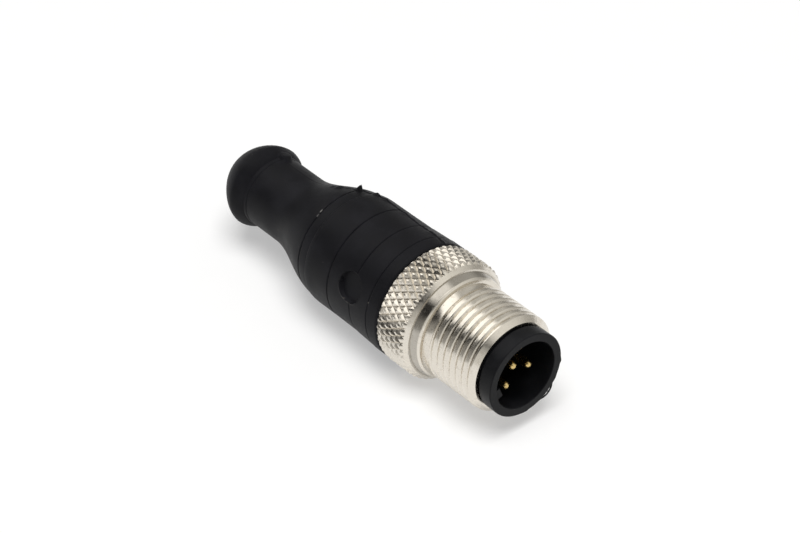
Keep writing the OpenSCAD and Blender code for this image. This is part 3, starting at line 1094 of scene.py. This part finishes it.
choose = room.add("ShaderNodeMixShader")
room.join(seen_as_background(room), choose.inputs["Fac"])
room.join(background(room_color, world_strength), choose.inputs[1])
room.join(background((1, 1, 1), 1.0), choose.inputs[2])
room.join(choose.outputs["Shader"], room.add("ShaderNodeOutputWorld").inputs["Surface"])
print("world at", world_strength)

# %% Soft box
lamp_towards = Vector((0.17, -0.18, 0.97))
lamp_distance = 1.2
lamp_size = 0.75
lamp_power = 14.4

lamp_data = bpy.data.lights.new("overhead_box", "AREA")
lamp_data.shape = "RECTANGLE"
lamp_data.size = lamp_data.size_y = lamp_size
lamp_data.energy = lamp_power
lamp_data.color = room_color
overhead = bpy.data.objects.new("overhead_box", lamp_data)
direction = lamp_towards.normalized()
overhead.location = Vector((0, 0, axis_z)) + direction * lamp_distance
overhead.rotation_euler = (-direction).to_track_quat("-Z", "Y").to_euler()
overhead.visible_glossy = False
bpy.context.scene.collection.objects.link(overhead)
print("lamp", overhead.name, lamp_power, "W")

# %% [markdown]
# ## The tent
#
# Bright metal only looks like metal with grey and black to reflect, so polished parts
# are lit inside a cloth tent with a dark gap in it. Here the tent is a dome that only
# glossy rays see: it shades the reflections and leaves the light alone.
#
# Its cloth is painted by place. Above, over the grip and the ring, a dark gap lies on
# the near side, then a white panel that is brighter than paper, then plain grey cloth.
# In front of the pins the same gap is wider and the panel is softer. The hem, low
# down, is grey and goes from dark at the grip's end to pale in front of the pins.

# %% The tent's cloth
tent_radius = 1.3
gap_black = (0.02, 0.019, 0.018)
panel_white = (1.6, 1.58, 1.54)
front_gap = (0.04, 0.04, 0.04)

cloth = Finish("tent_cloth", (0.02, 0.02, 0.02), 0.9)
axes = cloth.along_axes()
across = cloth.spread(axes["Y"], 0, 1, -tent_radius, tent_radius)
lengthways = cloth.spread(axes["X"], 0, 1, -tent_radius, tent_radius)
over_grip = cloth.ramp(
    across, (0.0, gap_black), (0.23, gap_black), (0.27, panel_white), (0.57, panel_white),
    (0.62, (0.50, 0.49, 0.46)), (0.75, (0.60, 0.59, 0.56)), (1.0, (0.70, 0.69, 0.66)))
over_pins = cloth.ramp(
    across, (0.0, front_gap), (0.35, front_gap), (0.42, (0.8, 0.79, 0.76)),
    (0.55, (1.0, 0.99, 0.95)), (1.0, (0.65, 0.64, 0.61)))
hem = cloth.ramp(
    lengthways, (0.0, (0.08, 0.08, 0.08)), (0.1, (0.12, 0.12, 0.12)),
    (0.2, (0.32, 0.31, 0.29)), (0.6, (0.38, 0.37, 0.35)), (1.0, (0.85, 0.84, 0.80)))
towards_pins = cloth.spread(axes["X"], 0, 1, 0.22 * tent_radius, 0.42 * tent_radius)
height = cloth.spread(axes["Z"], 0, 1, 0.28 * tent_radius, 0.50 * tent_radius)
above = cloth.mixed(towards_pins, over_grip, over_pins)
cloth_glow = cloth.add("ShaderNodeEmission")
cloth.join(cloth.mixed(height, hem, above), cloth_glow.inputs["Color"])
cloth.join(cloth_glow.outputs["Emission"], cloth.output.inputs["Surface"])
print("cloth", cloth.material.name)

# %% The dome
dome_sides = 48
dome_levels = 16

verts, quads = [], []
for k in range(dome_levels + 1):
    lean = math.pi / 2 * k / dome_levels
    for i in range(dome_sides):
        a = 2 * math.pi * i / dome_sides
        verts.append((tent_radius * math.cos(lean) * math.cos(a),
                      tent_radius * math.cos(lean) * math.sin(a),
                      tent_radius * math.sin(lean)))
for k in range(dome_levels):
    for i in range(dome_sides):
        j = (i + 1) % dome_sides
        quads.append((k * dome_sides + i, k * dome_sides + j,
                      (k + 1) * dome_sides + j, (k + 1) * dome_sides + i))
tent = show_mesh("tent", verts, quads)
for ray in ("camera", "diffuse", "shadow", "volume_scatter", "transmission"):
    setattr(tent, "visible_" + ray, False)
tent.data.materials.append(cloth.material)
print("tent", 2 * tent_radius, "m across, seen by glossy rays alone")

# %% [markdown]
# ## The end
